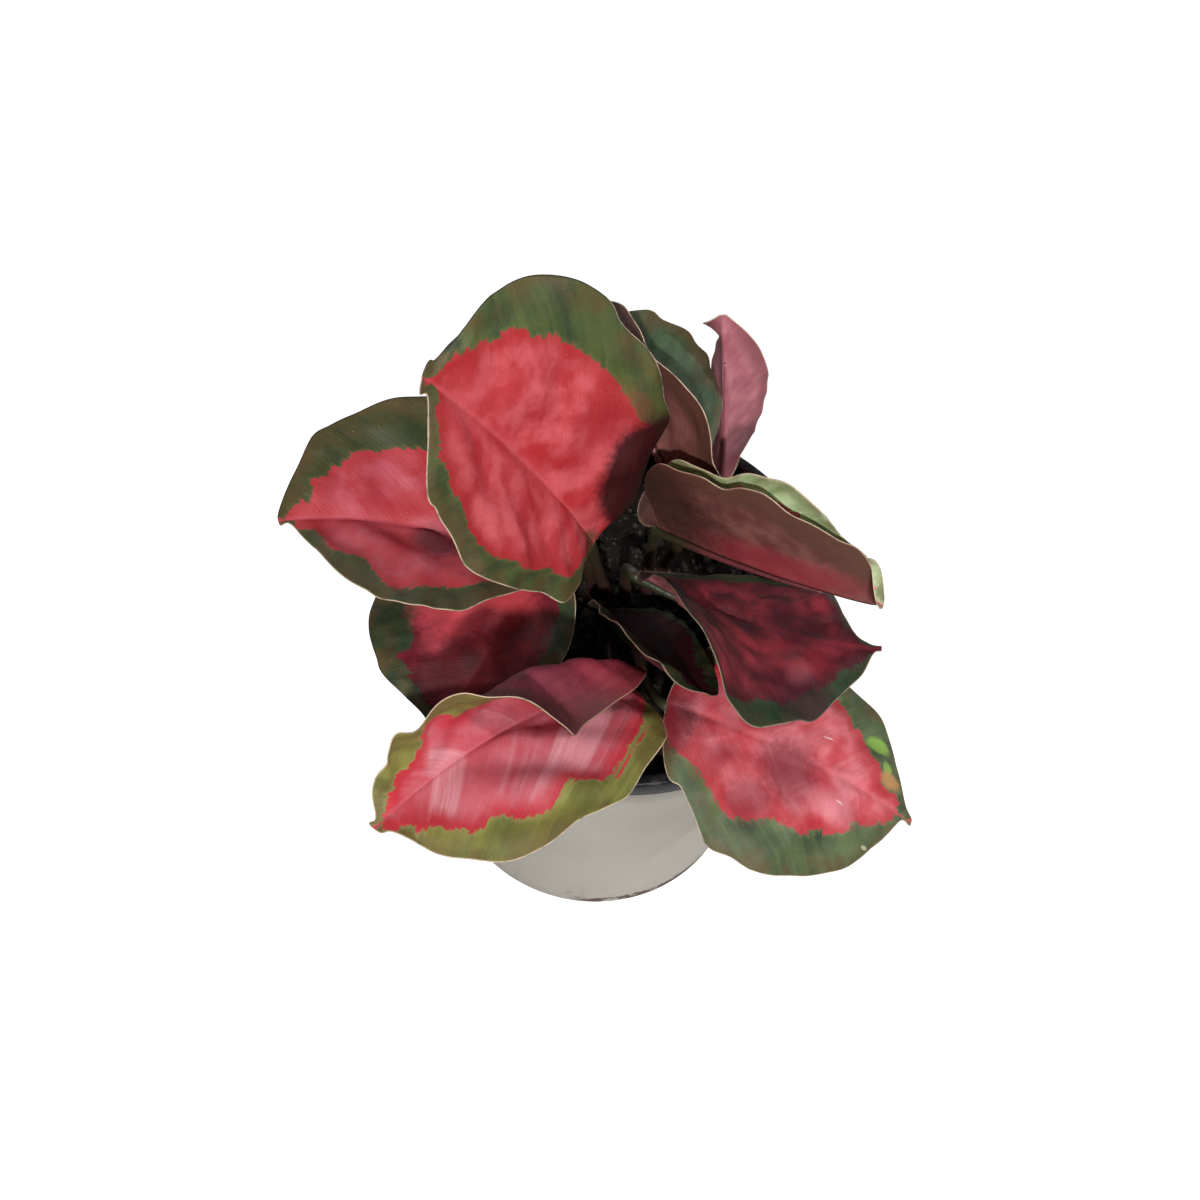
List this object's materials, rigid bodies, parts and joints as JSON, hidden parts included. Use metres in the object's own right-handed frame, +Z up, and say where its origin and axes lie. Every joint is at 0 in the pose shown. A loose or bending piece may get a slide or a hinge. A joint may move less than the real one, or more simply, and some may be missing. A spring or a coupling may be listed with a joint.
{
  "type": "potted rosy calathea",
  "caption": "Young potted calathea: rosy pink leaves with green bands on slim stalks, growing from dark soil in a round tapered nursery pot with a black lip.",
  "frame": {"origin": "middle of the pot's base, on the surface it stands on", "axes": "+Z up along the pot's axis; -Y is the front, where two rosy leaves hang over the rim; +X to the right as seen from the front"},
  "size_m": [0.162, 0.1474, 0.1981],
  "materials": {
    "pot_plastic": "satin grey outside, black inside and lip",
    "potting_soil": "rough, damp",
    "rosy_leaf": "satin, pink with a green band",
    "shaded_leaf": "satin, dark pink with a green band",
    "leaf_underside": "matte mauve underside"
  },
  "bodies": {
    "root": {"pot": "pot_plastic", "soil": "potting_soil", "leaf_top": "rosy_leaf", "leaf_left": "rosy_leaf", "leaf_left_low": "shaded_leaf", "leaf_front_left": "rosy_leaf", "leaf_front_right": "rosy_leaf", "leaf_right_low": "shaded_leaf", "leaf_inner": "shaded_leaf", "leaf_right": "leaf_underside", "leaf_back": "shaded_leaf", "leaf_upright": "leaf_underside"}
  },
  "joints": []
}
